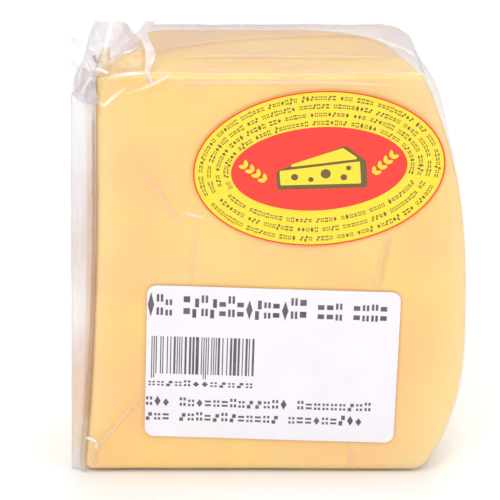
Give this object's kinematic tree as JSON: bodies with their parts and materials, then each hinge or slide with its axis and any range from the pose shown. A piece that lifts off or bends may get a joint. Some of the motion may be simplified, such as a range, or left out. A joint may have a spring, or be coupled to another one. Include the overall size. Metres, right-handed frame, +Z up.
{
  "type": "wrapped cheese wedge",
  "caption": "Thick wedge of semi-hard cheese with a bulging rind side, sealed in clear film with an oval sticker and a plain price label.",
  "frame": {"origin": "middle of the pack's box in plan, on the surface it stands on", "axes": "+Z up, the front cut face with the labels looks along -Y, the bulging rind side looks along +X"},
  "size_m": [0.0922, 0.0484, 0.1081],
  "materials": {
    "cheese": null,
    "film": "clear, glossy, creased wrapping film",
    "sticker": "glossy printed paper",
    "label": "matt thermal paper"
  },
  "bodies": {
    "root": {"cheese_wedge": "cheese", "film_wrap": "film", "oval_sticker": "sticker", "price_label": "label"}
  },
  "joints": []
}
